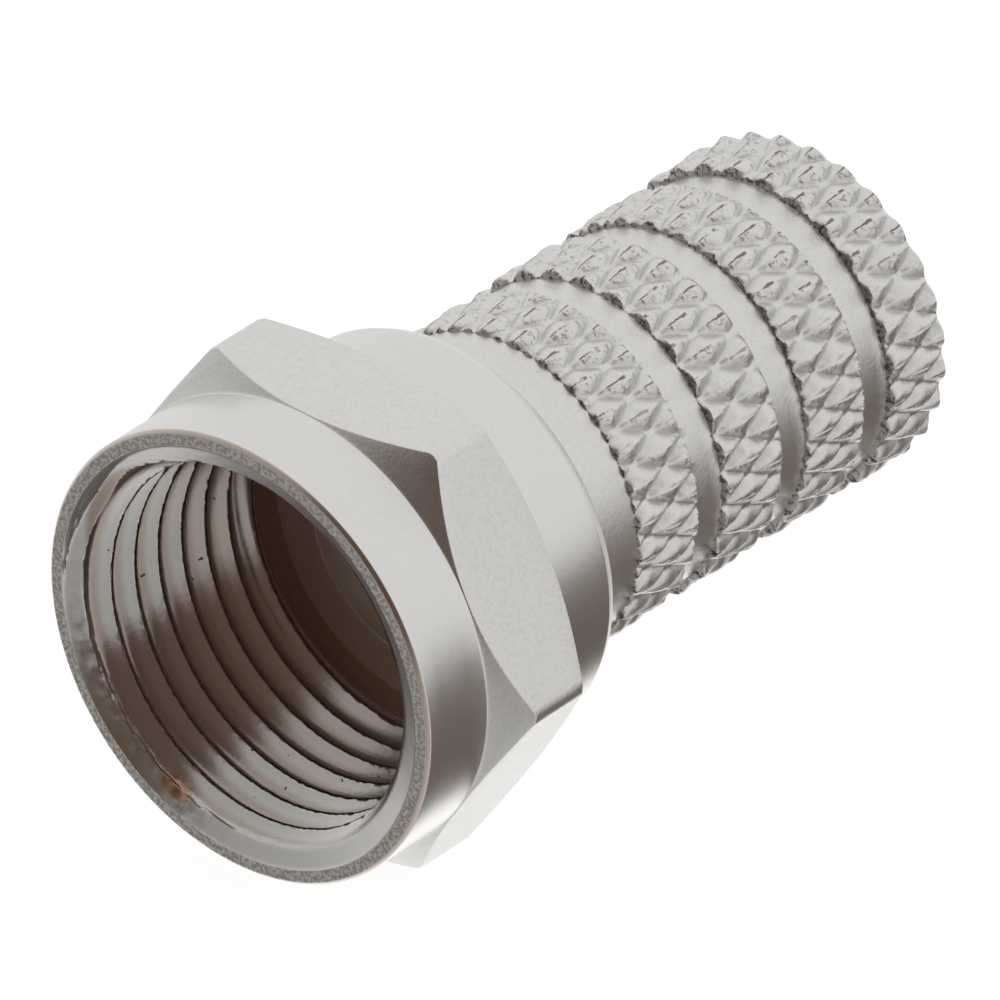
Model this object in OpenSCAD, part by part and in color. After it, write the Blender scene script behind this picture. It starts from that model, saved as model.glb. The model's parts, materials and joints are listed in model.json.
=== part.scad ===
// Twist-on F connector for 7 mm coaxial cable.
// Two turned brass pieces: a hexagonal coupling nut, and a body that the nut
// spins on. The body's front end is swaged out into a flange inside the nut,
// and its knurled sleeve screws over the cable.
// +X runs along the axis from the nut's front face to the cable end, +Z is up.
// The origin is the centre of the nut's front face.

/* [Nut outside] */
// Diameter of the round rim in front of the hex
rim_d = 11.05; // [10.6:0.05:11.4]
// Length of the rim
rim_len = 2; // [1.2:0.1:3]
// Size of the hex across its flats
hex_af = 11.1; // [11:0.05:12]
// Diameter that the hex corners are turned down to
hex_corner_d = 12.7; // [12.3:0.05:12.8]
// Length of the hex along the middle of a flat
hex_len = 2.77; // [2.2:0.01:4]
// Angle of the corner chamfer at the front of the hex
hex_front_angle = 40; // [25:1:45]
// Angle of the corner chamfer at the back of the hex
hex_rear_angle = 30; // [15:1:45]
// Diameter of the round collar behind the hex
collar_d = 9.9; // [9.8:0.05:10.6]
// Length of the collar
collar_len = 2.4; // [2:0.1:3.2]
// Length of the bevel at the back edge of the collar
collar_bevel_len = 0.3; // [0.1:0.05:0.4]
// Radial depth of that bevel
collar_bevel_depth = 0.14; // [0.05:0.01:0.3]
// Break of the outer edge of the front face
rim_edge = 0.08; // [0.02:0.01:0.2]

/* [Nut inside] */
// Diameter over the crests of the 3/8-32 thread
thread_minor_d = 8.8; // [8.6:0.01:8.95]
// Diameter of the countersink at the mouth
mouth_d = 10.3; // [9.4:0.05:10.6]
// Included angle of the countersink
mouth_angle = 120; // [90:5:130]
// Distance from the front face to the end of the thread
thread_end = 5.75; // [5:0.05:5.85]
// Thickness of the collar's wall round the relief behind the thread
collar_wall = 0.35; // [0.2:0.05:0.5]
// Thickness of the lip that holds the nut on the body
lip_len = 0.57; // [0.4:0.01:0.9]

/* [Body outside] */
// Diameter of the swaged flange inside the nut
flange_d = 7.9; // [7.5:0.05:8.3]
// Thickness of the flange
flange_len = 0.55; // [0.4:0.01:0.6]
// Break of the flange's edges
flange_edge = 0.08; // [0.03:0.01:0.15]
// Diameter of the neck that the nut turns on
neck_d = 7; // [6.6:0.05:7.2]
// Diameter of the smooth shoulder behind the nut
shoulder_d = 7.76; // [7.4:0.02:7.8]
// Length of the shoulder
shoulder_len = 1.81; // [1:0.01:4]
// Number of knurled bands
band_count = 4; // [2:1:6]
// Length of each band but the last
band_len = 2.05; // [1.2:0.05:3]
// Width of the smooth grooves between the bands
groove_len = 0.87; // [0.4:0.01:1.5]
// Diameter of the grooves
groove_d = 7.6; // [7.3:0.02:7.66]
// Length of the last band
end_band_len = 1.86; // [1:0.01:3]
// Chamfer at the cable end
end_chamfer = 0.2; // [0.05:0.01:0.35]

/* [Knurl] */
// Diameter over the diamond points at the front of the sleeve
knurl_d = 8.22; // [8.1:0.02:8.6]
// How much wider the sleeve is at the cable end
knurl_swell = 0.18; // [0:0.02:0.4]
// Depth of the diamonds
knurl_depth = 0.26; // [0.12:0.01:0.3]
// Number of diamonds round the sleeve
knurl_count = 28; // [18:1:40]
// Angle between the knurl's lines and the axis
knurl_angle = 28; // [22:1:40]
// Length of knurl that was turned away in front of the first band
knurl_lead = 0.48; // [0.2:0.01:0.8]
// Turn of the knurl about the axis
knurl_turn = 1.1; // [-6.4:0.1:6.4]

/* [Body bores] */
// Diameter over the crests of the thread that grips the cable
cable_bore_d = 6.1; // [5.9:0.05:6.6]
// Chamfer where the cable goes in
cable_entry = 0.3; // [0.1:0.05:0.4]
// Diameter of the front bore for the cable's core
core_bore_d = 5.7; // [4.6:0.05:5.8]
// Length of the front bore
core_bore_len = 2.75; // [1.5:0.05:5]

/* [Fits] */
// Radial clearance between the nut's lip and the neck
spin_gap = 0.05; // [0.02:0.01:0.1]
// End play of the nut on each side of its lip
end_gap = 0.15; // [0.05:0.01:0.3]

/* [Hidden] */
$fn = 96;
over = 1;

// Stations along the axis, from the nut's front face
hex_z = rim_len;
collar_z = hex_z + hex_len;
nut_len = collar_z + collar_len;
lip_z = nut_len - lip_len;
lip_d = neck_d + 2 * spin_gap;
relief_d = collar_d - 2 * collar_wall;
mouth_len = (mouth_d - thread_minor_d) / 2 / tan(mouth_angle / 2);

flange_end = lip_z - end_gap;
flange_z = flange_end - flange_len;
shoulder_z = nut_len + end_gap;
knurl_z = shoulder_z + shoulder_len;
band_pitch = band_len + groove_len;
last_band_z = knurl_z + (band_count - 1) * band_pitch;
body_end = last_band_z + end_band_len;
bore_step_z = flange_z + core_bore_len;

// The knurl rolls on as a lattice of rings, each turned by half a diamond
knurl_len = body_end - knurl_z;
ring_step = PI * knurl_d / knurl_count / 2 / tan(knurl_angle);
ring_z = knurl_z - knurl_lead;
ring_count = ceil((knurl_len + knurl_lead + 0.2) / ring_step) + 1;
ring_points = 2 * knurl_count;
end_peak_d = knurl_d + knurl_swell;
stock_d = end_peak_d + over;

// Lays a piece that was drawn along +Z down along +X
module lay() {
    rotate([0, 90, 0]) children();
}

// ---- coupling nut ----

// Hex bar, flat side down, turned back at its corners
module hex_section() {
    corner_r = hex_corner_d / 2;
    rim_r = rim_d / 2;
    front_run = (corner_r - rim_r) * tan(hex_front_angle);
    rear_run = (corner_r - rim_r) * tan(hex_rear_angle);
    intersection() {
        translate([0, 0, hex_z - over])
            rotate(30)
                cylinder(d = hex_af / cos(30), h = hex_len + 2 * over, $fn = 6);
        rotate_extrude()
            polygon([
                [0, hex_z],
                [rim_r, hex_z],
                [corner_r, hex_z + front_run],
                [corner_r, collar_z - rear_run],
                [rim_r, collar_z],
                [0, collar_z]
            ]);
    }
}

// Rim and collar, the round part of the nut at its front and its back
module nut_barrel() {
    rotate_extrude()
        polygon([
            [0, 0],
            [rim_d / 2 - rim_edge, 0],
            [rim_d / 2, rim_edge],
            [rim_d / 2, hex_z + hex_len / 4],
            [collar_d / 2, hex_z + hex_len / 2],
            [collar_d / 2, nut_len - collar_bevel_len],
            [collar_d / 2 - collar_bevel_depth, nut_len],
            [0, nut_len]
        ]);
}

// What the drill, the countersink and the boring tool take out of the nut
module nut_bore() {
    thread_r = thread_minor_d / 2;
    mouth_slope = tan(mouth_angle / 2);
    rotate_extrude()
        polygon([
            [0, -over],
            [mouth_d / 2 + over * mouth_slope, -over],
            [thread_r, mouth_len],
            [thread_r, thread_end],
            [relief_d / 2, thread_end],
            [relief_d / 2, lip_z],
            [lip_d / 2, lip_z],
            [lip_d / 2, nut_len + over],
            [0, nut_len + over]
        ]);
}

module coupling_nut() {
    color([0.80, 0.80, 0.79])
        lay()
            difference() {
                union() {
                    hex_section();
                    nut_barrel();
                }
                nut_bore();
            }
}

// ---- body ----

// Radius of one lattice point: diamond points and valley crossings alternate,
// and both widen evenly towards the cable end
function lattice_r(ring, i) =
    let (
        z = ring_z + ring * ring_step,
        peak_r = knurl_d / 2 + knurl_swell / 2 * (z - knurl_z) / knurl_len
    )
    (ring + i) % 2 == 0 ? peak_r - knurl_depth : peak_r;

function lattice_index(ring, i) = ring * ring_points + i % ring_points;

// Two triangles of the lattice, which meet along a valley of the knurl
function lattice_facets(ring, i) =
    let (
        a = lattice_index(ring, i),
        b = lattice_index(ring, i + 1),
        c = lattice_index(ring + 1, i + 1),
        d = lattice_index(ring + 1, i)
    )
    (ring + i) % 2 == 0 ? [[a, d, c], [a, c, b]] : [[a, d, b], [d, c, b]];

// Bar with a diamond knurl rolled round it
module knurled_bar() {
    points = [
        for (ring = [0 : ring_count - 1], i = [0 : ring_points - 1])
            let (r = lattice_r(ring, i), a = knurl_turn + 180 * i / knurl_count)
            [r * cos(a), r * sin(a), ring_z + ring * ring_step]
    ];
    sides = [
        for (ring = [0 : ring_count - 2], i = [0 : ring_points - 1])
            each lattice_facets(ring, i)
    ];
    front = [for (i = [0 : ring_points - 1]) i];
    back = [for (i = [ring_points - 1 : -1 : 0]) lattice_index(ring_count - 1, i)];
    polyhedron(points, concat([front], sides, [back]));
}

// Bar that the flange, neck and shoulder are turned from
module plain_bar() {
    plain_end = ring_z + 0.1;
    translate([0, 0, flange_z - over])
        cylinder(d = stock_d, h = plain_end - flange_z + over);
}

// One knurled band and the groove behind it, as points of the turned outline
function band_outline(k) =
    let (z = knurl_z + k * band_pitch)
    [
        [stock_d / 2, z],
        [stock_d / 2, z + band_len],
        [groove_d / 2, z + band_len],
        [groove_d / 2, z + band_pitch]
    ];

// Everything that is turned and bored, as one ring about the axis
module turned_ring() {
    end_rise = (stock_d - end_peak_d) / 2;
    rotate_extrude()
        polygon(concat(
            [
                [core_bore_d / 2, flange_z],
                [flange_d / 2 - flange_edge, flange_z],
                [flange_d / 2, flange_z + flange_edge],
                [flange_d / 2, flange_end],
                [neck_d / 2, flange_end],
                [neck_d / 2, shoulder_z],
                [shoulder_d / 2, shoulder_z],
                [shoulder_d / 2, knurl_z]
            ],
            [for (k = [0 : band_count - 2]) each band_outline(k)],
            [
                [stock_d / 2, last_band_z],
                [stock_d / 2, body_end - end_chamfer - end_rise],
                [end_peak_d / 2 - end_chamfer, body_end],
                [cable_bore_d / 2 + cable_entry, body_end],
                [cable_bore_d / 2, body_end - cable_entry],
                [cable_bore_d / 2, bore_step_z],
                [core_bore_d / 2, bore_step_z]
            ]
        ));
}

module body() {
    color([0.78, 0.78, 0.77])
        lay()
            intersection() {
                union() {
                    knurled_bar();
                    plain_bar();
                }
                turned_ring();
            }
}

coupling_nut();
body();
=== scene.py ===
"""Twist-on F connector: its finished surfaces, its studio and its camera.

The coupling nut and the body are turned as blanks, by spinning an outline about the
connector's axis, and each blank is then milled, threaded or knurled by a formula that
places its rows and columns. Lengths are in metres, and +X runs along the axis.
"""

import json
import math

import bpy
import numpy as np
from mathutils import Matrix, Vector, noise


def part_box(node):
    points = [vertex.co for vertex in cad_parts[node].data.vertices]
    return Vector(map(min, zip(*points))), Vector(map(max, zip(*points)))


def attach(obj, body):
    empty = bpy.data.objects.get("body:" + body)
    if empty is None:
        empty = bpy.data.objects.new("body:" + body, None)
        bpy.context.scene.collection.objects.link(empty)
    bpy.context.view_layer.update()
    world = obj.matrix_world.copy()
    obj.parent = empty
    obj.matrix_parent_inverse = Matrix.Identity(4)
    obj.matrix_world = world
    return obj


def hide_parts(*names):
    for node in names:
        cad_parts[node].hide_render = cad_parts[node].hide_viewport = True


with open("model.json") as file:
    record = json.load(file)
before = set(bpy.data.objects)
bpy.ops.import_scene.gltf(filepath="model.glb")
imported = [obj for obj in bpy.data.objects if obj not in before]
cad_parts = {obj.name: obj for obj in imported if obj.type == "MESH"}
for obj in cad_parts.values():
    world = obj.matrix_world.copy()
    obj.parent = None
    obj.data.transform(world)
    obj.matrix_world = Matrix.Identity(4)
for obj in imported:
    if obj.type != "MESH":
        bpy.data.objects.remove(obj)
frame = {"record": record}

bl_info = {
    "name": "Twist-on F connector",
    "version": (1, 0, 0),
    "blender": (4, 5, 0),
    "location": "3D View > Sidebar > Connector",
    "description": "Builds a threaded coupling nut and a knurled body in nickel plate",
    "category": "Add Mesh",
}

MM = 0.001
WELD = 1e-6
FULL_TURN = 2 * math.pi
FINE_FILLET = 0.03 * MM
EDGE_FILLET = 0.06 * MM
SMOOTH_UNDER = math.radians(30)

NUT_LOW, NUT_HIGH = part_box("coupling_nut")
BODY_LOW, BODY_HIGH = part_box("body")
MOUNTS = {mount["name"]: mount for mount in frame["record"]["mounts"]}


def mount_radius(name):
    return MOUNTS[name]["dims"]["r_mm"] * MM


def length_prop(name, description, default):
    return bpy.props.FloatProperty(
        name=name, description=description, default=default,
        min=0, precision=6, subtype="DISTANCE", unit="LENGTH",
    )


def angle_prop(name, description, degrees):
    return bpy.props.FloatProperty(
        name=name, description=description, default=math.radians(degrees),
        subtype="ANGLE", unit="ROTATION",
    )


def factor_prop(name, description, default):
    return bpy.props.FloatProperty(
        name=name, description=description, default=default, min=0, max=1, subtype="FACTOR",
    )


def colour_prop(name, description, default):
    return bpy.props.FloatVectorProperty(
        name=name, description=description, default=default,
        size=3, min=0, max=1, subtype="COLOR",
    )


class NutSizes(bpy.types.PropertyGroup):
    """Sizes of the coupling nut."""

    rim_radius: length_prop("Rim radius", "Radius of the round rim", 5.525 * MM)
    rim_edge: length_prop("Rim edge", "Break of the rim's front edge", 0.08 * MM)
    hex_start: length_prop("Hex start", "Where the hex begins behind the mouth", 2 * MM)
    hex_end: length_prop("Hex end", "Where the hex ends", 4.77 * MM)
    corner_radius: length_prop("Corner radius", "Radius of the hex's corners", 6.35 * MM)
    front_angle: angle_prop("Front chamfer", "Angle of the front corner chamfer", 40)
    rear_angle: angle_prop("Rear chamfer", "Angle of the rear corner chamfer", 30)
    collar_radius: length_prop("Collar radius", "Radius of the collar", 4.95 * MM)
    bevel_length: length_prop("Bevel length", "Length of the collar's bevel", 0.3 * MM)
    bevel_depth: length_prop("Bevel depth", "Depth of the collar's bevel", 0.14 * MM)
    mouth_radius: length_prop("Mouth radius", "Radius of the countersink", 5.15 * MM)
    mouth_angle: angle_prop("Countersink", "Half angle of the countersink", 60)
    bite_depth: length_prop("Bite depth", "Depth of the tool's bite in the mouth", 0.36 * MM)
    bite_width: length_prop("Bite width", "Width of the tool's bite in the mouth", 0.13 * MM)
    relief_radius: length_prop("Relief radius", "Radius behind the thread", 4.6 * MM)
    thread_end: length_prop("Thread end", "Where the thread stops", 5.75 * MM)
    lip_start: length_prop("Lip start", "Where the rear lip begins", 6.6 * MM)
    lip_radius: length_prop("Lip radius", "Radius of the hole in the lip", 3.55 * MM)
    pitch: length_prop("Pitch", "Length of one turn of the thread", 0.794 * MM)
    thread_depth: length_prop("Thread depth", "Depth of the thread", 0.38 * MM)
    crest_width: length_prop("Crest width", "Width of the thread's flat crest", 0.06 * MM)
    front_flank: length_prop("Front flank", "Length of the flank facing out", 0.44 * MM)
    rear_flank: length_prop("Rear flank", "Length of the flank facing in", 0.22 * MM)
    first_crest: length_prop("First crest", "Where the first crest starts", 0.83 * MM)
    tear: length_prop("Torn metal", "Height of the burrs on the thread", 0.03 * MM)


class BodySizes(bpy.types.PropertyGroup):
    """Sizes of the body."""

    flange_radius: length_prop("Flange radius", "Radius of the flange", 3.95 * MM)
    flange_length: length_prop("Flange thickness", "Thickness of the flange", 0.55 * MM)
    neck_radius: length_prop("Neck radius", "Radius of the neck", 3.5 * MM)
    shoulder_start: length_prop("Shoulder start", "Where the shoulder begins", 7.32 * MM)
    shoulder_radius: length_prop("Shoulder radius", "Radius of the shoulder", 3.88 * MM)
    knurl_start: length_prop("Knurl start", "Where the first band begins", 9.13 * MM)
    band_count: bpy.props.IntProperty(
        name="Bands", description="Number of knurled bands", default=4, min=1)
    band_length: length_prop("Band length", "Length of a knurled band", 2.05 * MM)
    groove_length: length_prop("Groove width", "Width of a smooth groove", 0.87 * MM)
    groove_radius: length_prop("Groove radius", "Radius of the grooves", 3.87 * MM)
    peak_radius: length_prop("Peak radius", "Radius over the first diamonds", 4.08 * MM)
    swell: length_prop("Swell", "How much wider the last diamonds are", 0.12 * MM)
    tail_length: length_prop("Tail length", "Run of a band's end down to the groove", 0.3 * MM)
    knurl_depth: length_prop("Knurl depth", "Depth of the diamonds", 0.21 * MM)
    diamonds: bpy.props.IntProperty(
        name="Diamonds", description="Number of diamonds round the body", default=28, min=3)
    knurl_angle: angle_prop("Knurl angle", "Angle of the knurl's lines to the axis", 28)
    knurl_lead: length_prop("Knurl lead", "Knurl turned away before the bands", 0.48 * MM)
    knurl_turn: angle_prop("Knurl turn", "Turn of the knurl about the axis", -88.9)
    entry: length_prop("Cable entry", "Chamfer of the cable bore", 0.3 * MM)
    step: length_prop("Bore step", "Where the core bore meets the cable bore", 8.65 * MM)
    grip_pitch: length_prop("Grip pitch", "One turn of the cable thread", 1.2 * MM)
    grip_depth: length_prop("Grip depth", "Depth of the cable thread", 0.28 * MM)


class Finish(bpy.types.PropertyGroup):
    """Colours and roughness of the nickel plate."""

    nickel: colour_prop("Nickel", "Colour of the plating", (0.70, 0.692, 0.675))
    dirt: colour_prop("Dirt", "Colour of the dirt in cracks and corners", (0.13, 0.075, 0.05))
    burr: colour_prop("Burr", "Colour along the thread's torn crest", (0.20, 0.095, 0.06))
    # painted shade: a darker, less metallic brown in the thread's roots, where the inside is dim
    painted_shading: colour_prop("Root_shade", "Colour of the brown film in the thread", (0.44, 0.31, 0.235))
    # painted light: a pale, matt brown that brightens the dim inside of the nut and the body's
    # bores and flange
    painted_inside_light: colour_prop("Inside_light", "Colour of the dull film deep inside", (0.86, 0.66, 0.52))
    copper: colour_prop("Bare metal", "Colour where the plating is worn", (0.60, 0.33, 0.22))
    turned_roughness: factor_prop("Turned", "Roughness of turned surfaces", 0.3)
    milled_roughness: factor_prop("Drawn", "Roughness of the drawn flats", 0.36)
    knurled_roughness: factor_prop("Knurled", "Roughness of the knurl", 0.36)


class StageLook(bpy.types.PropertyGroup):
    """The floor, the light tent and the camera."""

    camera_at: bpy.props.FloatVectorProperty(
        name="Camera location", description="Where the camera stands", size=3,
        default=(-0.28024, -0.23281, 0.24860), subtype="TRANSLATION", unit="LENGTH")
    camera_turn: bpy.props.FloatVectorProperty(
        name="Camera rotation", description="How the camera is turned", size=3,
        default=tuple(math.radians(a) for a in (56.153, -1.891, -49.902)),
        subtype="EULER", unit="ROTATION")
    lens: bpy.props.FloatProperty(
        name="Lens", description="Focal length in millimetres", default=720, min=1)
    tent: colour_prop("Tent", "Colour of the light tent", (0.93, 0.93, 0.93))
    floor: colour_prop("Floor", "Colour of the floor", (0.9, 0.9, 0.9))
    dark: colour_prop("Dark card", "Colour of the room in front", (0.12, 0.080, 0.060))


# ---- modelling ----


def activate(thing):
    """Selects one object and nothing else."""
    bpy.ops.object.select_all(action="DESELECT")
    thing.select_set(True)
    bpy.context.view_layer.objects.active = thing


def chain(name, outline):
    """A string of points in the XY half plane, made from a ring of as many vertices."""
    bpy.ops.object.select_all(action="DESELECT")
    bpy.ops.mesh.primitive_circle_add(vertices=len(outline), radius=MM)
    thing = bpy.context.object
    thing.name = thing.data.name = name
    rows = thing.data.attributes.new("row", "INT", "POINT")
    for vertex, (x, radius) in zip(thing.data.vertices, outline):
        vertex.co = (x, radius, 0)
        rows.data[vertex.index].value = vertex.index
    closing = {0, len(outline) - 1}
    bpy.context.tool_settings.mesh_select_mode = (False, True, False)
    bpy.ops.object.mode_set(mode="EDIT")
    bpy.ops.mesh.select_all(action="DESELECT")
    bpy.ops.object.mode_set(mode="OBJECT")
    for edge in thing.data.edges:
        edge.select = set(edge.vertices) == closing
    bpy.ops.object.mode_set(mode="EDIT")
    bpy.ops.mesh.delete(type="EDGE")
    bpy.ops.object.mode_set(mode="OBJECT")
    return thing


def turn(thing, steps):
    """Spins a chain about the axis, which leaves a blank with `steps` columns."""
    activate(thing)
    bpy.ops.object.mode_set(mode="EDIT")
    bpy.ops.mesh.select_all(action="SELECT")
    bpy.ops.mesh.spin(steps=steps, angle=FULL_TURN, center=(0, 0, 0), axis=(1, 0, 0))
    weld()
    bpy.ops.object.mode_set(mode="OBJECT")


def weld():
    bpy.ops.mesh.select_all(action="SELECT")
    bpy.ops.mesh.remove_doubles(threshold=WELD)


def places(thing):
    co = np.zeros(len(thing.data.vertices) * 3)
    thing.data.vertices.foreach_get("co", co)
    return co.reshape(-1, 3)


def cylinder_points(x, radius, angle):
    return np.stack([x, radius * np.cos(angle), radius * np.sin(angle)], axis=1)


def put(thing, x, radius, angle):
    """Sets every vertex from its place along the axis, its radius and its angle."""
    thing.data.vertices.foreach_set("co", cylinder_points(x, radius, angle).ravel())
    thing.data.update()


def mill(thing, xs, radii, first_angle=0.0):
    """Moves each vertex to the place that its row and column have in two tables."""
    columns = xs.shape[1]
    co = places(thing)
    rows = np.zeros(len(co), int)
    thing.data.attributes["row"].data.foreach_get("value", rows)
    angle = np.arctan2(co[:, 2], co[:, 1])
    column = np.round(angle / FULL_TURN * columns).astype(int) % columns
    put(thing, xs[rows, column], radii[rows, column],
        first_angle + column * FULL_TURN / columns)


def finish_mesh(things, name):
    """Joins the parts of one turned piece, welds their seams and shades them."""
    activate(things[0])
    for thing in things:
        thing.select_set(True)
    if len(things) > 1:
        bpy.ops.object.join()
    piece = bpy.context.object
    piece.name = piece.data.name = name
    bpy.ops.object.mode_set(mode="EDIT")
    weld()
    bpy.ops.mesh.dissolve_degenerate(threshold=WELD)
    bpy.ops.mesh.select_all(action="SELECT")
    bpy.ops.mesh.normals_make_consistent(inside=False)
    bpy.ops.object.mode_set(mode="OBJECT")
    bpy.ops.object.shade_smooth_by_angle(angle=SMOOTH_UNDER)
    for attribute in list(piece.data.attributes):
        if attribute.name == "row":
            piece.data.attributes.remove(attribute)
    return piece


FILLET_STEPS = 3


def rounded(corners):
    """An outline through corners of (x, radius, fillet, parts), each a number or a row.

    `parts` is how many stretches the straight run to the next corner is divided into.
    """
    points = [np.stack(np.broadcast_arrays(np.asarray(x, float), radius), -1)
              for x, radius, *_ in corners]
    shape = np.broadcast_shapes(*(p.shape for p in points))
    points = [np.broadcast_to(p, shape) for p in points]
    rows = []
    for i, point in enumerate(points):
        fillet = corners[i][2]
        if not fillet or i in (0, len(points) - 1):
            arc = [point]
        else:
            before, after = points[i - 1] - point, points[i + 1] - point
            size_b = np.linalg.norm(before, axis=-1, keepdims=True)
            size_a = np.linalg.norm(after, axis=-1, keepdims=True)
            cut = np.minimum(fillet, 0.45 * np.minimum(size_b, size_a))
            start = point + before / size_b * cut
            end = point + after / size_a * cut
            steps = np.linspace(0, 1, FILLET_STEPS + 1)
            arc = [(1 - t) ** 2 * start + 2 * t * (1 - t) * point + t * t * end
                   for t in steps]
        if rows:
            parts = corners[i - 1][3]
            for k in range(1, parts):
                rows.append(rows[last] + (arc[0] - rows[last]) * k / parts)
        rows += arc
        last = len(rows) - 1
    table = np.stack(rows)
    return table[..., 0], table[..., 1]


def soft_min(a, b, blend):
    """The smaller of two, with the corner between them rounded."""
    mix = np.clip(0.5 + 0.5 * (b - a) / blend, 0, 1)
    return b + (a - b) * mix - blend * mix * (1 - mix)


def soft_max(a, b, blend):
    return -soft_min(-a, -b, blend)


def rough(points, scale, seed=0.0):
    """Smooth noise at points in the given scale, one value from -1 to 1 for each."""
    shift = Vector((seed, 2.7 * seed, -1.3 * seed))
    return np.array([noise.noise(Vector(p) / scale + shift) for p in points])


def bell(value, middle, width):
    """1 at the middle, and falling away to both sides of it."""
    return np.exp(-((value - middle) / width) ** 2)


# ---- coupling nut ----

NUT_COLUMNS = 360
ROWS_PER_PITCH = 24
THREAD_START = math.radians(-2.5)
RUN_OUT = 0.35 * MM
TURN_AWAY = 0.1 * MM
MOUTH_EDGE = 0.03 * MM
MOUTH_STEP = 0.02 * MM
CORNER_BLEND = 0.02 * MM
BITE_ANGLE = math.radians(27)
BITE_SPREAD = math.radians(21)
TORN_ANGLE = math.radians(-42)
TORN_SPREAD = math.radians(40)
BLANK_RADIUS = 4.4 * MM


def thread_radius(size, x, angle):
    """Radius of the nut's inside at places along and about the axis.

    Also how far along its own turn of the thread each place is.
    """
    crest_r = mount_radius("coupling_thread")
    turns = (x - size.first_crest) / size.pitch - (angle - THREAD_START) / FULL_TURN
    along = (turns % 1.0) * size.pitch
    rear = np.clip((along - size.crest_width) / size.rear_flank, 0, 1)
    front = np.clip((size.pitch - along) / size.front_flank, 0, 1)
    # powers above 1 round the root where the two flanks meet
    depth = np.minimum(1 - (1 - rear) ** 1.4, 1 - (1 - front) ** 1.6)
    fade = np.clip((size.thread_end - TURN_AWAY - x) / RUN_OUT, 0, 1)
    wall = crest_r + size.thread_depth * depth * fade
    bite = bell(angle, BITE_ANGLE, BITE_SPREAD)
    edge_r = size.mouth_radius - MOUTH_STEP - size.bite_width * bite
    edge_x = MOUTH_EDGE + size.bite_depth * bite
    recess = size.mouth_radius + (edge_r - size.mouth_radius) * x / edge_x
    cone = edge_r - (x - edge_x) * math.tan(size.mouth_angle)
    mouth = soft_min(recess, cone, CORNER_BLEND)
    return soft_max(wall, mouth, CORNER_BLEND), along


def screw_wall(name, start, pitch, radius, rows, iterations, columns):
    """One turn of wall, of `rows` rows, screwed along the axis as often as told."""
    outline = [(start + pitch * (k / rows - 2), radius) for k in range(rows + 1)]
    wall = chain(name, outline)
    activate(wall)
    screw = wall.modifiers.new("screw", "SCREW")
    screw.axis = "X"
    screw.angle = FULL_TURN
    screw.screw_offset = pitch
    screw.iterations = iterations
    screw.steps = screw.render_steps = columns
    screw.use_smooth_shade = True
    bpy.ops.object.modifier_apply(modifier=screw.name)
    return wall


def threaded_wall(size):
    """The inside of the nut, from the mouth to the relief, screwed along the axis."""
    pitch = size.pitch
    wall = screw_wall("thread", 0, pitch, BLANK_RADIUS, ROWS_PER_PITCH,
                      math.ceil(size.thread_end / pitch) + 3, NUT_COLUMNS)
    co = places(wall)
    angle = np.arctan2(co[:, 2], co[:, 1])
    x = np.clip(co[:, 0], 0, size.thread_end)
    radius, along = thread_radius(size, x, angle)
    where = cylinder_points(x, 4.5 * MM, angle)
    torn = rough(where, 0.13 * MM) + 0.8 * rough(where, 0.06 * MM, 5)
    streaks = rough(np.stack([x, 0.9 * MM * angle, 0 * x], axis=1), 0.07 * MM, 3)
    from_crest = np.minimum(abs(along - size.crest_width), pitch - along)
    on_crest = bell(from_crest, 0, 0.03 * MM) * (x > 0.5 * MM)
    near_mouth = bell(x, 0.2 * MM, 0.16 * MM) * (0.12 + bell(angle, TORN_ANGLE, TORN_SPREAD))
    radius = radius + size.tear * 0.45 * torn * on_crest
    radius = radius + size.tear * (1.5 * streaks + 0.9 * torn) * near_mouth
    radius = np.where(x <= WELD, size.mouth_radius, np.minimum(radius, size.mouth_radius))
    put(wall, x, radius, angle)
    return wall


def hex_radius(size, angle):
    """Distance from the axis to the hex's skin, with its corners turned down."""
    flat = NUT_HIGH.z
    from_flat = (angle + math.radians(120)) % math.radians(60) - math.radians(30)
    corner = np.full_like(angle, size.corner_radius)
    return soft_min(flat / np.cos(from_flat), corner, CORNER_BLEND)


def nut_shell(size):
    """Everything of the nut but its threaded wall: one outline, milled to a hex."""
    angle = np.arange(NUT_COLUMNS) * FULL_TURN / NUT_COLUMNS
    angle = (angle + math.pi) % FULL_TURN - math.pi
    end = NUT_HIGH.x
    hex_r = hex_radius(size, angle)
    front_run = (hex_r - size.rim_radius) * math.tan(size.front_angle)
    rear_run = (hex_r - size.rim_radius) * math.tan(size.rear_angle)
    wall_end = thread_radius(size, np.full_like(angle, size.thread_end), angle)[0]
    xs, radii = rounded([
        (size.thread_end, wall_end, 0, 1),
        (size.thread_end, size.relief_radius, FINE_FILLET, 2),
        (size.lip_start, size.relief_radius, EDGE_FILLET, 2),
        (size.lip_start, size.lip_radius, FINE_FILLET, 2),
        (end, size.lip_radius, FINE_FILLET, 2),
        (end, size.collar_radius - size.bevel_depth, FINE_FILLET, 1),
        (end - size.bevel_length, size.collar_radius, FINE_FILLET, 4),
        (size.hex_end, size.collar_radius, EDGE_FILLET, 2),
        (size.hex_end, size.rim_radius, FINE_FILLET, 1),
        (size.hex_end - rear_run, hex_r, FINE_FILLET, 5),
        (size.hex_start + front_run, hex_r, FINE_FILLET, 2),
        (size.hex_start, size.rim_radius, EDGE_FILLET, 4),
        (size.rim_edge, size.rim_radius, FINE_FILLET, 1),
        (0, size.rim_radius - size.rim_edge, FINE_FILLET, 4),
        (0, size.mouth_radius, 0, 1),
    ])
    shell = chain("shell", list(zip(xs[:, 0], radii[:, 0])))
    turn(shell, NUT_COLUMNS)
    mill(shell, xs, radii)
    return shell


# ---- body ----

CELLS_PER_HALF = 10
KNURL_ROUNDING = 1.9
KNURL_SQUARENESS = 5
LAP_WIDTH = 0.12
LAP_DEPTH = 0.02 * MM
WRINKLE = 0.011 * MM
BAND_EDGE = 0.035 * MM
GROOVE_LIP = 0.015 * MM


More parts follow.
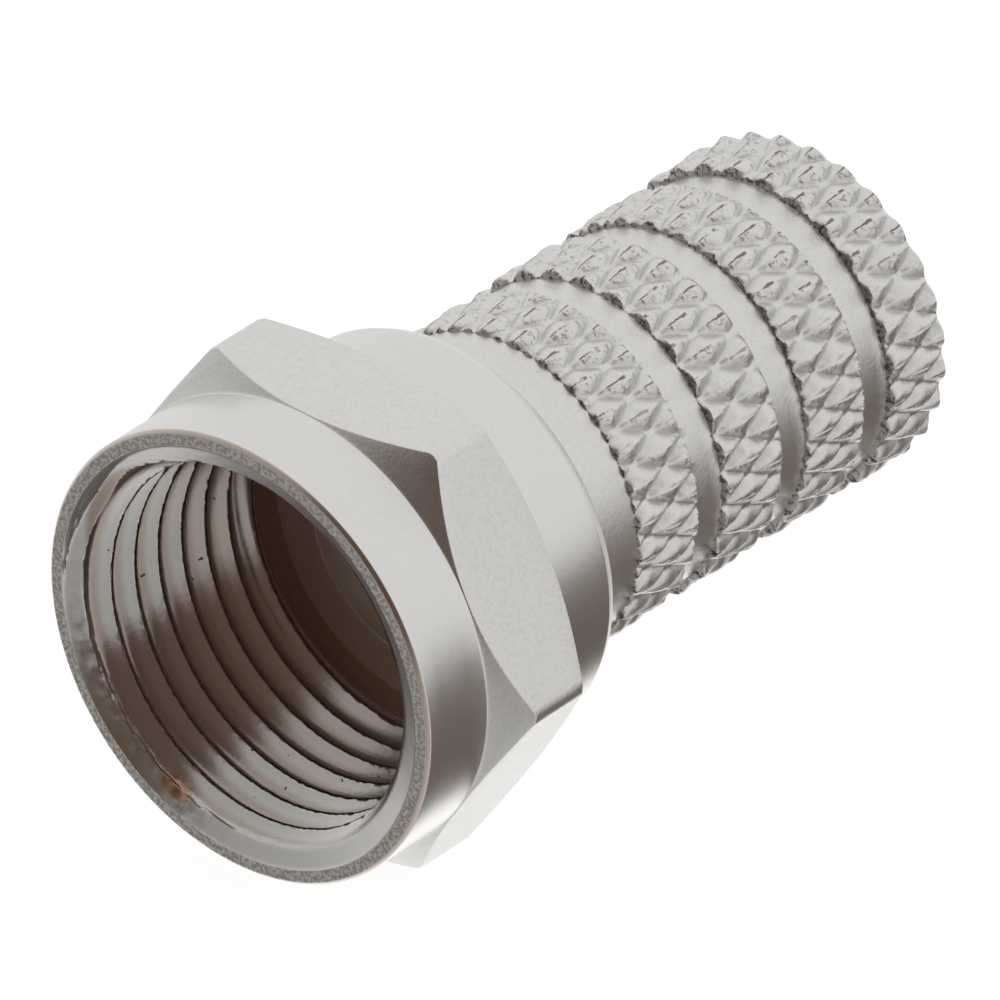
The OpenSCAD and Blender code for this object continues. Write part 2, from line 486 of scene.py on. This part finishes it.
def ring_step(size):
    """Half the length of a diamond."""
    width = FULL_TURN * size.peak_radius / size.diamonds
    return width / 2 / math.tan(size.knurl_angle)


def knurl_radius(size, x, column):
    """Radius of the knurl at a place along the axis, for every column of the blank.

    Also how deeply the rolled metal has lapped there, and how high each point stands.
    """
    length = BODY_HIGH.x - size.knurl_start
    ring = (x - size.knurl_start + size.knurl_lead) / ring_step(size)
    i = column / CELLS_PER_HALF
    # from the nearest diamond's point, where ring + i is odd, dz along and di about the axis
    u, v = (ring + i - 1) / 2, (ring - i - 1) / 2
    du, dv = u - np.round(u), v - np.round(v)
    dz, di = du + dv, du - dv
    power = KNURL_SQUARENESS
    reach = (abs(2 * du) ** power + abs(2 * dv) ** power) ** (1 / power)
    height = 1 - np.minimum(reach, 1) ** KNURL_ROUNDING
    front_half = np.clip((dz + 0.6) / 0.3, 0, 1) * np.clip((0.1 - dz) / 0.1, 0, 1)
    lap = bell(di, 0, LAP_WIDTH) * front_half
    peak = size.peak_radius + size.swell * (x - size.knurl_start) / length
    return peak - size.knurl_depth * (1 - height), lap, np.maximum(height, 0.02)


def bands(size):
    pitch = size.band_length + size.groove_length
    for k in range(size.band_count):
        start = size.knurl_start + k * pitch
        last = k == size.band_count - 1
        yield start, (BODY_HIGH.x if last else start + size.band_length), last


def body_rows(size):
    """The body's outside as rows: where each is along the axis, its radius and its drop.

    A row with no radius follows the knurl, and lies its drop below the diamonds' skin.
    """
    step = ring_step(size) / CELLS_PER_HALF
    xs, radii = rounded([
        (size.shoulder_start - 0.1 * MM, size.neck_radius, 0, 1),
        (size.shoulder_start, size.neck_radius, FINE_FILLET, 1),
        (size.shoulder_start, size.shoulder_radius, 0.05 * MM, 6),
        (size.knurl_start, size.shoulder_radius, 0, 1),
    ])
    rows = [(x, radius, 0) for x, radius in zip(xs.tolist(), radii.tolist())]
    groove_r = size.groove_radius
    origin = size.knurl_start - size.knurl_lead
    for start, end, last in bands(size):
        stop = end - 0.06 * MM
        ring = math.ceil((start + 0.09 * MM - origin) / step)
        rows += [(start, None, BAND_EDGE), (start + BAND_EDGE, None, 0.004 * MM)]
        while origin + ring * step < stop:
            rows.append((origin + ring * step, None, 0))
            ring += 1
        if last:
            rows.append((end, None, 0.09 * MM))
            continue
        rows.append((end - 0.02 * MM, None, 0))
        for part in (0.03, 0.3, 0.6, 0.96):
            rows.append((end + part * size.groove_length, groove_r, 0))
        rows.append((end + size.groove_length, groove_r + GROOVE_LIP, 0))
    return rows


def body_shell(size):
    """The outside of the body, from the neck to the cable end and the mouth of the cable bore."""
    columns = 2 * size.diamonds * CELLS_PER_HALF
    rows = body_rows(size)
    end = BODY_HIGH.x
    bore_r = mount_radius("cable_bore")
    end_xs, end_radii = rounded([
        (end, bore_r + size.entry + 0.2 * MM, 0, 1),
        (end, bore_r + size.entry, FINE_FILLET, 2),
        (end - size.entry, bore_r, 0, 1),
    ])
    rows += [(x, radius, 0) for x, radius in zip(end_xs.tolist(), end_radii.tolist())]
    column = np.arange(columns)
    angle = size.knurl_turn + column * FULL_TURN / columns
    xs = np.empty((len(rows), columns))
    radii = np.empty_like(xs)
    laps = np.zeros_like(xs)
    heights = np.zeros_like(xs)
    drops = np.zeros_like(xs)
    for r, (x, radius, drop) in enumerate(rows):
        xs[r] = x
        drops[r] = drop
        if radius is None:
            radii[r], laps[r], heights[r] = knurl_radius(size, x, column)
        else:
            radii[r] = radius
    knurled = heights > 0
    for start, end, last in bands(size):
        if not last:
            band = (xs > start) & (xs < end) & knurled
            run_down = ((xs - end) / size.tail_length + 1).clip(0) ** 2
            skin = size.groove_radius + 0.07 * MM + size.knurl_depth * (1 - run_down)
            radii[band] = soft_min(radii, skin, 0.05 * MM)[band]
    about = np.broadcast_to(angle, xs.shape)[knurled]
    where = cylinder_points(xs[knurled], radii[knurled], about)
    wrinkle = rough(where, 0.24 * MM) + 0.6 * rough(where, 0.11 * MM, 3)
    radii[knurled] += WRINKLE * wrinkle - drops[knurled] * heights[knurled] ** 0.5
    radii[knurled] -= LAP_DEPTH * laps[knurled]
    blank = [(x, radius or size.peak_radius) for x, radius, drop in rows]
    shell = chain("shell", blank)
    turn(shell, columns)
    mill(shell, xs, radii, size.knurl_turn)
    split_along_valleys(shell)
    return shell


BORE_COLUMNS = 112
ROWS_PER_GRIP = 10


def grip_wall(size):
    """The bore, with the coarse thread that cuts into the cable's jacket."""
    crest = mount_radius("cable_bore")
    start = size.step
    end = BODY_HIGH.x - size.entry - 0.05 * MM
    pitch = size.grip_pitch
    wall = screw_wall("grip", start, pitch, crest, ROWS_PER_GRIP,
                      math.ceil((end - start) / pitch) + 3, BORE_COLUMNS)
    co = places(wall)
    angle = np.arctan2(co[:, 2], co[:, 1])
    x = np.clip(co[:, 0], start, end)
    along = ((x - start) / pitch - angle / FULL_TURN) % 1.0
    groove = np.clip(1 - np.abs(along - 0.5) / 0.28, 0, 1)
    fade = np.clip(np.minimum(x - start, end - x) / (0.8 * MM), 0, 1)
    put(wall, x, crest + size.grip_depth * groove * fade, angle)
    return wall


def front_and_grip(size):
    """The flange, the neck's front and the bores, with the thread that grips the cable."""
    low = BODY_LOW.x
    flange_end = low + size.flange_length
    core_r = mount_radius("core_bore")
    xs, radii = rounded([
        (size.shoulder_start - 0.2 * MM, size.neck_radius, 0, 3),
        (flange_end, size.neck_radius, FINE_FILLET, 3),
        (flange_end, size.flange_radius, 0.05 * MM, 2),
        (low, size.flange_radius, 0.12 * MM, 8),
        (low, core_r, 0.06 * MM, 8),
        (size.step, core_r, FINE_FILLET, 3),
        (size.step, mount_radius("cable_bore"), 0, 1),
    ])
    front = chain("front", list(zip(xs.tolist(), radii.tolist())))
    turn(front, BORE_COLUMNS)
    return [front, grip_wall(size)]


def bridge(piece, low, high):
    """Joins the two open rings that lie between two places along the axis."""
    activate(piece)
    mesh = piece.data
    links = np.zeros(len(mesh.loops), int)
    mesh.loops.foreach_get("edge_index", links)
    uses = np.bincount(links, minlength=len(mesh.edges))
    bpy.context.tool_settings.mesh_select_mode = (False, True, False)
    bpy.ops.object.mode_set(mode="EDIT")
    bpy.ops.mesh.select_all(action="DESELECT")
    bpy.ops.object.mode_set(mode="OBJECT")
    for edge in mesh.edges:
        x = mesh.vertices[edge.vertices[0]].co.x
        edge.select = bool(uses[edge.index] == 1 and low < x < high)
    bpy.ops.object.mode_set(mode="EDIT")
    bpy.ops.mesh.bridge_edge_loops()
    bpy.ops.object.mode_set(mode="OBJECT")


def split_along_valleys(thing):
    """Cuts the blank's faces, all four-sided, from one lower corner to the other."""
    co = places(thing)
    radius = np.hypot(co[:, 1], co[:, 2])
    mesh = thing.data
    corners = np.zeros(len(mesh.loops), int)
    mesh.loops.foreach_get("vertex_index", corners)
    r = radius[corners.reshape(-1, 4)]
    first_is_low = r[:, 0] + r[:, 2] < r[:, 1] + r[:, 3]
    activate(thing)
    bpy.context.tool_settings.mesh_select_mode = (False, False, True)
    bpy.ops.object.mode_set(mode="EDIT")
    bpy.ops.mesh.select_all(action="DESELECT")
    bpy.ops.object.mode_set(mode="OBJECT")
    mesh.polygons.foreach_set("select", first_is_low)
    bpy.ops.object.mode_set(mode="EDIT")
    bpy.ops.mesh.quads_convert_to_tris(quad_method="FIXED", ngon_method="BEAUTY")
    bpy.ops.mesh.select_all(action="SELECT")
    bpy.ops.mesh.quads_convert_to_tris(quad_method="FIXED_ALTERNATE", ngon_method="BEAUTY")
    bpy.ops.object.mode_set(mode="OBJECT")


# ---- materials ----


class Wire:
    """A socket of a node tree, with the arithmetic that adds Math nodes to the tree."""

    def __init__(self, tree, socket=None):
        self.tree = tree
        self.socket = socket

    def node(self, kind, settings=None, inputs=None, out=0):
        """Adds a node: its settings first, then its sockets' values or links."""
        made = self.tree.nodes.new("ShaderNode" + kind)
        for key, value in (settings or {}).items():
            setattr(made, key, value)
        for key, value in (inputs or {}).items():
            if isinstance(value, Wire):
                self.tree.links.new(value.socket, made.inputs[key])
            else:
                made.inputs[key].default_value = value
        if isinstance(out, tuple):
            return [Wire(self.tree, made.outputs[name]) for name in out]
        return Wire(self.tree, made.outputs[out]) if made.outputs else None

    def maths(self, operation, *values):
        return self.node("Math", {"operation": operation}, dict(enumerate(values)))

    def __add__(self, other):
        return self.maths("ADD", self, other)

    def __radd__(self, other):
        return self.maths("ADD", other, self)

    def __sub__(self, other):
        return self.maths("SUBTRACT", self, other)

    def __rsub__(self, other):
        return self.maths("SUBTRACT", other, self)

    def __mul__(self, other):
        return self.maths("MULTIPLY", self, other)

    def __rmul__(self, other):
        return self.maths("MULTIPLY", other, self)

    def __truediv__(self, other):
        return self.maths("DIVIDE", self, other)

    def __pow__(self, other):
        return self.maths("POWER", self, other)

    def capped(self, limit):
        return self.maths("MINIMUM", self, limit)

    def size(self):
        """This number without its sign."""
        return self.maths("ABSOLUTE", self)

    def off_whole(self):
        """How far this is from the nearest whole number."""
        return self - self.maths("ROUND", self)

    def larger(self, other):
        return self.maths("MAXIMUM", self, other)

    def above(self, low, high):
        """0 below `low`, 1 over `high`, and smooth between them."""
        return self.node(
            "MapRange", {"interpolation_type": "SMOOTHSTEP"},
            {"Value": self, "From Min": low, "From Max": high}, "Result")

    def within(self, low, high, soft):
        """1 between `low` and `high`, and 0 further out than `soft`."""
        return self.above(low - soft, low) * (1 - self.above(high, high + soft))

    def noise(self, scale, detail=2.0, roughness=0.5, seed=0.0):
        """Noise from 0 to 1 at this point; a scale of 10 has about 10 blobs a unit."""
        return self.node(
            "TexNoise", {"noise_dimensions": "4D"},
            {"Vector": self, "W": seed, "Scale": scale, "Detail": detail,
             "Roughness": roughness}, 0)

    def stretch(self, x, y, z):
        return self.node(
            "VectorMath", {"operation": "MULTIPLY"}, {0: self, 1: (x, y, z)}, "Vector")

    def mix(self, amount, other):
        """This colour, or `other` where `amount` is 1."""
        return self.node(
            "Mix", {"data_type": "RGBA"}, {"Factor": amount, "A": self, "B": other}, 2)

    def dot(self, direction):
        return self.node(
            "VectorMath", {"operation": "DOT_PRODUCT"}, {0: self, 1: direction}, "Value")


def new_material(name):
    material = bpy.data.materials.new(name)
    material.use_nodes = True
    material.node_tree.nodes.clear()
    return material, Wire(material.node_tree)


def millimetres(tree):
    """The point on the piece in millimetres, and its place along, off and about the axis."""
    point = tree.node("TexCoord", out="Object").stretch(1000, 1000, 1000)
    x, y, z = tree.node("SeparateXYZ", inputs={"Vector": point}, out=("X", "Y", "Z"))
    return point, x, (y * y + z * z) ** 0.5, tree.maths("ARCTAN2", z, y)


def rgba(colour):
    return (*colour, 1)


def grey(level):
    return (level, level, level, 1)


def sum_of(wires):
    first, *others = wires
    for wire in others:
        first = first + wire
    return first


def spot(point, x, radius, degrees, size):
    """1 at a place on the piece, in millimetres, and 0 further off than `size`."""
    angle = math.radians(degrees)
    place = (x, radius * math.cos(angle), radius * math.sin(angle))
    off = point.node(
        "VectorMath", {"operation": "DISTANCE"}, {0: point, 1: place}, "Value")
    return 1 - off.above(0.4 * size, size)


def finish_material(tree, colour, roughness, height, metallic):
    """Metal of a colour and roughness, with a bump whose height is in millimetres."""
    normal = tree.node("Bump", inputs={"Strength": 1, "Distance": MM, "Height": height})
    shader = tree.node("BsdfPrincipled", inputs={
        "Base Color": colour, "Metallic": metallic, "Roughness": roughness, "Normal": normal})
    tree.node("OutputMaterial", inputs={"Surface": shader})


def plated(tree, look, cloud, speckle):
    """The plating's colour, a little uneven from place to place."""
    tone = 0.90 + 0.05 * cloud + 0.07 * speckle
    return tree.node("VectorMath", {"operation": "SCALE"},
                     {0: tuple(look.nickel), "Scale": tone}, "Vector")


COPPER_ANGLES = (-70, -67.5, -65)


def nut_material(look, size):
    """Nickel over brass: sandy flats, a cast-looking face, and a threaded inside with brown
    painted shade in its roots and painted light deeper in.

    Masks and noise are in millimetres.
    """
    material, tree = new_material("nut_nickel")
    point, x, radius, angle = millimetres(tree)
    grain = point.noise(8, 4, 0.65)
    fine = point.noise(24, 3, 0.6, 4)
    cloud = point.noise(0.55, 3, 0.55, 9)
    wear = point.noise(5, 3, 0.6, 12)

    rim_r = size.rim_radius / MM
    mouth_r = size.mouth_radius / MM
    collar_r = size.collar_radius / MM
    root_r = (mount_radius("coupling_thread") + size.thread_depth) / MM
    hex_start = size.hex_start / MM
    hex_end = size.hex_end / MM
    thread_end = size.thread_end / MM
    on_hex = x.within(hex_start + 0.01, hex_end - 0.01, 0.01)
    on_hex = on_hex * radius.above(rim_r + 0.01, rim_r + 0.02)
    # the collar's outside is nearer to the axis than the mouth is
    collar = radius.above(collar_r - 0.18, collar_r - 0.15)
    collar = collar * x.above(hex_end - 0.27, hex_end - 0.17)
    inside = (1 - radius.above(mouth_r - 0.01, mouth_r + 0.02)) * (1 - collar)
    face = (1 - x.above(0.01, 0.04)) * (1 - radius.above(rim_r - 0.12, rim_r - 0.07))
    face = face * (1 - inside)
    threaded = inside * x.above(0.3, 0.4) * (1 - x.above(thread_end + 0.25, thread_end + 0.35))

    pitch = size.pitch / MM
    crest = (size.first_crest + 0.5 * size.crest_width) / MM
    # 0.5 on the crest, whichever turn of the thread it is on
    turns = (x - crest) / pitch - (angle - THREAD_START) / FULL_TURN + 0.5
    from_crest = pitch * (turns.maths("FRACT", turns) - 0.5).size()
    jagged = from_crest + 0.05 * (point.noise(9, 3, 0.7, 6) - 0.5)
    burr = threaded * (1 - jagged.above(0.028, 0.042))
    root = threaded * radius.above(root_r - 0.23, root_r - 0.04)
    # painted shade: the thread's roots get a darker, less metallic brown
    painted_shading = 0.6 * root * (0.8 + 0.4 * cloud)
    relief = x.above(thread_end - 0.15, thread_end + 0.15)
    # painted light: deep inside and at the relief behind the thread, a pale matt colour brightens
    # the dim metal
    painted_inside_light = inside * (0.25 * x.above(1.5, 4.5) + 0.7 * relief)

    pits = threaded * (1 - point.noise(6, 1, 0.5, 17).above(0.22, 0.26))
    cast = face * point.noise(10, 3, 0.6, 12).above(0.44, 0.56)
    dirt = (0.8 * pits + 0.40 * cast + 0.14 * face).capped(1)

    patch = sum_of(spot(point, 0.24, 4.82, degrees, 0.3) for degrees in COPPER_ANGLES)
    edge = radius.within(rim_r - 0.07, rim_r - 0.01, 0.02) * (1 - x.above(0.08, 0.1))
    worn = ((patch + wear - 0.45).above(0.5, 0.9) * 0.8 + 0.3 * edge).capped(1)

    turning = point.stretch(16, 0.9, 0.9).noise(1, 3, 0.6, 2)
    height = (0.009 * grain + 0.003 * fine) * (0.3 + 0.7 * on_hex)
    height = height + 0.0012 * turning + 0.0028 * turning * threaded
    height = height - 0.012 * cast - 0.02 * burr - 0.02 * pits
    roughness = look.turned_roughness + (look.milled_roughness - look.turned_roughness) * on_hex
    roughness = roughness + 0.10 * (cloud - 0.5) + 0.05 * (fine - 0.5) - 0.15 * threaded
    speckle = grain.above(0.36, 0.52) * (0.4 + 0.6 * on_hex) + 0.6 * (1 - on_hex)
    colour = plated(tree, look, cloud, speckle).mix(painted_shading, rgba(look.painted_shading))
    colour = colour.mix(painted_inside_light, rgba(look.painted_inside_light)).mix(0.8 * burr, rgba(look.burr))
    colour = colour.mix(dirt, rgba(look.dirt)).mix(worn, rgba(look.copper))
    metallic = (1 - 0.5 * painted_shading - 0.3 * dirt) * (1 - 0.9 * painted_inside_light)
    finish_material(tree, colour, roughness + 0.15 * dirt + 0.2 * painted_inside_light, height, metallic)
    return material


def body_material(look, size):
    """Nickel on the rolled knurl, with its laps and the dirt beside them, painted shade in the
    knurl's valleys, and painted light that brightens the bores and the flange.
    """
    material, tree = new_material("body_nickel")
    point, x, radius, angle = millimetres(tree)
    grain = point.noise(11, 4, 0.6, 1)
    fine = point.noise(30, 3, 0.6, 5)
    cloud = point.noise(0.5, 3, 0.5, 3)
    blotch = point.noise(3.2, 3, 0.6, 14)
    drift = point.noise(6, 3, 0.65, 8) - 0.5

    # place within the nearest diamond: dz along the axis and di about it, as in knurl_radius
    start = size.knurl_start / MM
    ring = (x - start + size.knurl_lead / MM) / (ring_step(size) / MM)
    i = (angle - size.knurl_turn) * (2 * size.diamonds / FULL_TURN)
    u = 0.5 * (ring + i - 1)
    v = 0.5 * (ring - i - 1)
    du = u.off_whole()
    dv = v.off_whole()
    dz = du + dv
    di = du - dv
    reach = 2 * du.size().larger(dv.size())

    groove_r = size.groove_radius / MM
    band_pitch = (size.band_length + size.groove_length) / MM
    from_front = band_pitch * ((x - start) / band_pitch).off_whole()
    knurled = x.above(start - 0.03, start - 0.02) * radius.above(groove_r + 0.01, groove_r + 0.06)
    front = 1 - (from_front + 0.09 * drift).size().above(0.02, 0.05)
    front = front * x.above(start - 0.1, start - 0.08)
    front = front * radius.above(groove_r - 0.03, groove_r + 0.03)

    slit_width = 0.012 + 0.04 * dz.above(-0.3, 0) + 0.04 * drift
    slit = 1 - ((di + 0.22 * drift).size() - slit_width).above(0, 0.035)
    lapped = 1 - angle.above(math.radians(126), math.radians(148))
    slit = slit * dz.within(-0.5, 0.04, 0.12) * knurled * blotch.above(0.38, 0.52) * lapped
    beside = di.above(0, 0.12) * dz.within(-0.45, 0.4, 0.1) * (1 - reach.above(0.7, 0.9))
    beside = beside * knurled
    specks = beside * point.noise(9, 2, 0.6, 31).above(0.56, 0.66) * (0.3 + 0.7 * lapped)
    # painted shade: a mask of the knurl's valleys
    painted_valley_shade = knurled * reach.above(0.9, 1)

    bore_r = mount_radius("cable_bore") / MM
    bore = 1 - radius.above(bore_r - 0.03, bore_r + 0.01)
    flange_end = (BODY_LOW.x + size.flange_length) / MM
    flange = (1 - x.above(flange_end - 0.05, flange_end + 0.05)) * (1 - bore)
    # painted light: the bores and the flange, deep inside, get a pale matt colour that brightens
    # them
    painted_inside_light = 0.75 * bore + 0.8 * flange
    ragged = point.noise(7, 3, 0.7, 19).above(0.5, 0.58)
    dirt = (0.75 * slit + 0.4 * specks + front * (0.12 + 0.7 * ragged)).capped(1)

    dents = beside * point.noise(7, 3, 0.6, 30)
    height = 0.008 * grain + 0.003 * fine - 0.03 * slit + 0.03 * dents - 0.008 * specks
    roughness = look.knurled_roughness + 0.08 * (cloud - 0.5) + 0.06 * (fine - 0.5)
    # painted shade: the plating's tone drops a little in the knurl's valleys
    colour = plated(tree, look, cloud, grain.above(0.34, 0.55) - 0.4 * painted_valley_shade)
    colour = colour.mix(painted_inside_light, rgba(look.painted_inside_light)).mix(dirt, rgba(look.dirt))
    metallic = (1 - 0.3 * dirt) * (1 - 0.9 * painted_inside_light)
    finish_material(tree, colour, roughness + 0.2 * dirt + 0.1 * painted_inside_light, height, metallic)
    return material


# ---- pieces, stage and camera ----


def dress(piece, material, node, body):
    """Gives a finished piece its material and ties it to the CAD model."""
    piece.data.materials.clear()
    piece.data.materials.append(material)
    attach(piece, body)
    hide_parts(node)


class CONNECTOR_OT_nut(bpy.types.Operator):
    """Turn, mill and thread the coupling nut"""

    bl_idname = "connector.nut"
    bl_label = "Coupling nut"
    bl_options = {"REGISTER", "UNDO"}

    def execute(self, context):
        size = context.scene.connector_nut
        piece = finish_mesh([nut_shell(size), threaded_wall(size)], "nut")
        dress(piece, nut_material(context.scene.connector_finish, size),
              "coupling_nut", "nut")
        return {"FINISHED"}


class CONNECTOR_OT_body(bpy.types.Operator):
    """Turn and knurl the body, and cut the thread that grips the cable"""

    bl_idname = "connector.body"
    bl_label = "Knurled body"
    bl_options = {"REGISTER", "UNDO"}

    def execute(self, context):
        size = context.scene.connector_body
        piece = finish_mesh([body_shell(size), *front_and_grip(size)], "sleeve")
        bridge(piece, size.shoulder_start - 0.3 * MM, size.shoulder_start)
        bridge(piece, BODY_HIGH.x - size.entry - 0.2 * MM, BODY_HIGH.x)
        dress(piece, body_material(context.scene.connector_finish, size),
              "body", "sleeve")
        return {"FINISHED"}


class CONNECTOR_OT_stage(bpy.types.Operator):
    """Lay the floor, put up the light tent and set the camera"""

    bl_idname = "connector.stage"
    bl_label = "Studio"
    bl_options = {"REGISTER", "UNDO"}

    def execute(self, context):
        look = context.scene.connector_stage
        make_floor(look)
        make_tent(context.scene, look)
        make_camera(context.scene, look)
        context.scene.view_settings.view_transform = "Standard"
        return {"FINISHED"}


FLOOR_SIZE = 4
FLOOR_GLOW = 0.93
FLOOR_SHADOW = 0.2


def make_floor(look):
    """A pale floor that the camera sees nearly white, and that the metal doesn't mirror."""
    bpy.ops.object.select_all(action="DESELECT")
    bpy.ops.mesh.primitive_plane_add(size=FLOOR_SIZE, location=(0, 0, 0))
    floor = bpy.context.object
    floor.name = "floor"
    bpy.ops.transform.translate(value=(0, 0, NUT_LOW.z - 0.01 * MM))
    bpy.ops.object.transform_apply(location=True)
    material, tree = new_material("floor")
    seen = tree.node("LightPath", out="Is Camera Ray")
    mirrored = tree.node("LightPath", out="Is Glossy Ray")
    matt = tree.node(
        "BsdfDiffuse", inputs={"Color": rgba([FLOOR_SHADOW * c for c in look.floor])})
    white = tree.node(
        "Emission", inputs={"Color": grey(1), "Strength": FLOOR_GLOW * seen})
    both = tree.node("AddShader", inputs={0: matt, 1: white})
    clear = tree.node("BsdfTransparent")
    surface = tree.node("MixShader", inputs={"Fac": mirrored, 1: both, 2: clear})
    tree.node("OutputMaterial", inputs={"Surface": surface})
    floor.data.materials.append(material)


# where a bright or dark card hangs, its inner and outer half angle in degrees, its colour
CARDS = [
    ((0.40, 0.30, -0.86), 18, 36, (1.25, 1.25, 1.25)),
    ((0.62, 0.09, -0.77), 5, 14, (1.6, 1.6, 1.6)),
    ((0.647, -0.53, -0.55), 22, 37, (0.16, 0.13, 0.11)),
]
ROOM = ((-0.65, -0.50, 0.58), 31, 42)
TENT_DOOR = ((-0.985, -0.12, 0.13), 23, 29)
FRONT_WALL = (0.44, 0.43, 0.41)


def make_tent(scene, look):
    """A light tent as the metal mirrors it: pale all round, dark where it is open."""
    world = bpy.data.worlds.new("tent")
    scene.world = world
    world.use_nodes = True
    world.node_tree.nodes.clear()
    tree = Wire(world.node_tree)
    direction = tree.node("TexCoord", out="Generated")
    x, y, z = tree.node("SeparateXYZ", inputs={"Vector": direction}, out=("X", "Y", "Z"))

    def lobe(centre, inner, outer):
        near = direction.dot(Vector(centre).normalized())
        return near.above(math.cos(math.radians(outer)), math.cos(math.radians(inner)))

    level = tree.node("Mix", {"data_type": "RGBA"}, {
        "Factor": x.above(-0.8, 0.3), "A": rgba(FRONT_WALL), "B": rgba(look.tent)}, 2)
    for centre, inner, outer, colour in CARDS:
        level = level.mix(lobe(centre, inner, outer), rgba(colour))
    level = level.mix(lobe(*ROOM).larger(lobe(*TENT_DOOR)), rgba(look.dark))
    seen = tree.node("LightPath", out="Is Camera Ray")
    level = level.mix(seen, grey(1))
    shader = tree.node("Background", inputs={"Color": level, "Strength": 1})
    tree.node("OutputWorld", inputs={"Surface": shader})


def make_camera(scene, look):
    bpy.ops.object.camera_add(location=look.camera_at, rotation=look.camera_turn)
    camera = bpy.context.object
    camera.name = "camera"
    camera.data.lens = look.lens
    scene.camera = camera


class CONNECTOR_PT_panel(bpy.types.Panel):
    """Lists the pieces of the connector and their sizes"""

    bl_label = "F connector"
    bl_idname = "CONNECTOR_PT_panel"
    bl_space_type = "VIEW_3D"
    bl_region_type = "UI"
    bl_category = "Connector"

    def draw(self, context):
        for name, operator in PARTS:
            box = self.layout.box()
            box.operator(operator.bl_idname)
            sizes = getattr(context.scene, name)
            for key in sizes.__annotations__:
                box.prop(sizes, key)
        for key in context.scene.connector_finish.__annotations__:
            self.layout.prop(context.scene.connector_finish, key)


PARTS = [
    ("connector_nut", CONNECTOR_OT_nut),
    ("connector_body", CONNECTOR_OT_body),
    ("connector_stage", CONNECTOR_OT_stage),
]
GROUPS = {
    "connector_nut": NutSizes,
    "connector_body": BodySizes,
    "connector_finish": Finish,
    "connector_stage": StageLook,
}
CLASSES = [*GROUPS.values(), *(operator for _, operator in PARTS), CONNECTOR_PT_panel]


def register():
    for cls in CLASSES:
        bpy.utils.register_class(cls)
    for name, group in GROUPS.items():
        setattr(bpy.types.Scene, name, bpy.props.PointerProperty(type=group))


def unregister():
    for name in GROUPS:
        delattr(bpy.types.Scene, name)
    for cls in reversed(CLASSES):
        bpy.utils.unregister_class(cls)


def main():
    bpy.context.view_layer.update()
    register()
    bpy.ops.connector.nut()
    bpy.ops.connector.body()
    bpy.ops.connector.stage()


if __name__ == "__main__":
    main()
